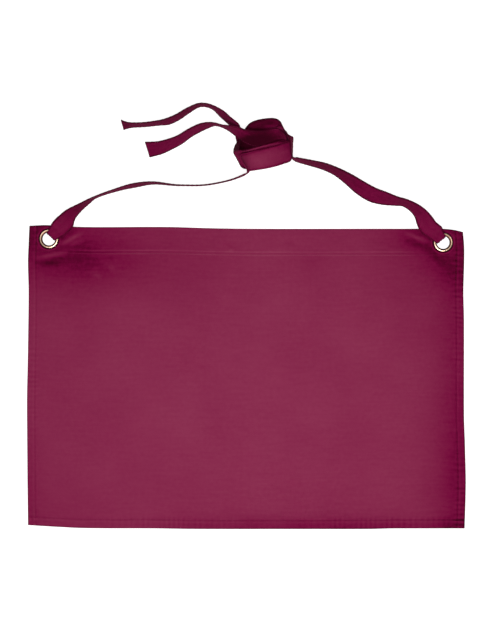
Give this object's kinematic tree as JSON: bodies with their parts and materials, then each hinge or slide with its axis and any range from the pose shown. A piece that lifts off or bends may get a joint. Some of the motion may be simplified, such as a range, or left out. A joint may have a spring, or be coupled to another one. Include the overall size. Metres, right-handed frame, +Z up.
{
  "type": "waist apron",
  "caption": "Short hemmed twill waist apron lying face up, with brass eyelets in its top corners and long tape ties wound into a loose coil above the waist edge.",
  "frame": {"origin": "on the floor under the middle of the cloth panel", "axes": "+Z up out of the face of the cloth, +X along the waist edge to the right of the picture, +Y from the bottom hem to the waist edge"},
  "size_m": [0.7043, 0.6854, 0.0479],
  "materials": {
    "burgundy_twill": "matt cotton twill",
    "brass": "polished"
  },
  "bodies": {
    "root": {"apron_panel": "burgundy_twill", "eyelet_left": "brass", "eyelet_right": "brass", "washer_left": "brass", "washer_right": "brass", "tie_left": "burgundy_twill", "tie_right": "burgundy_twill"}
  },
  "joints": []
}
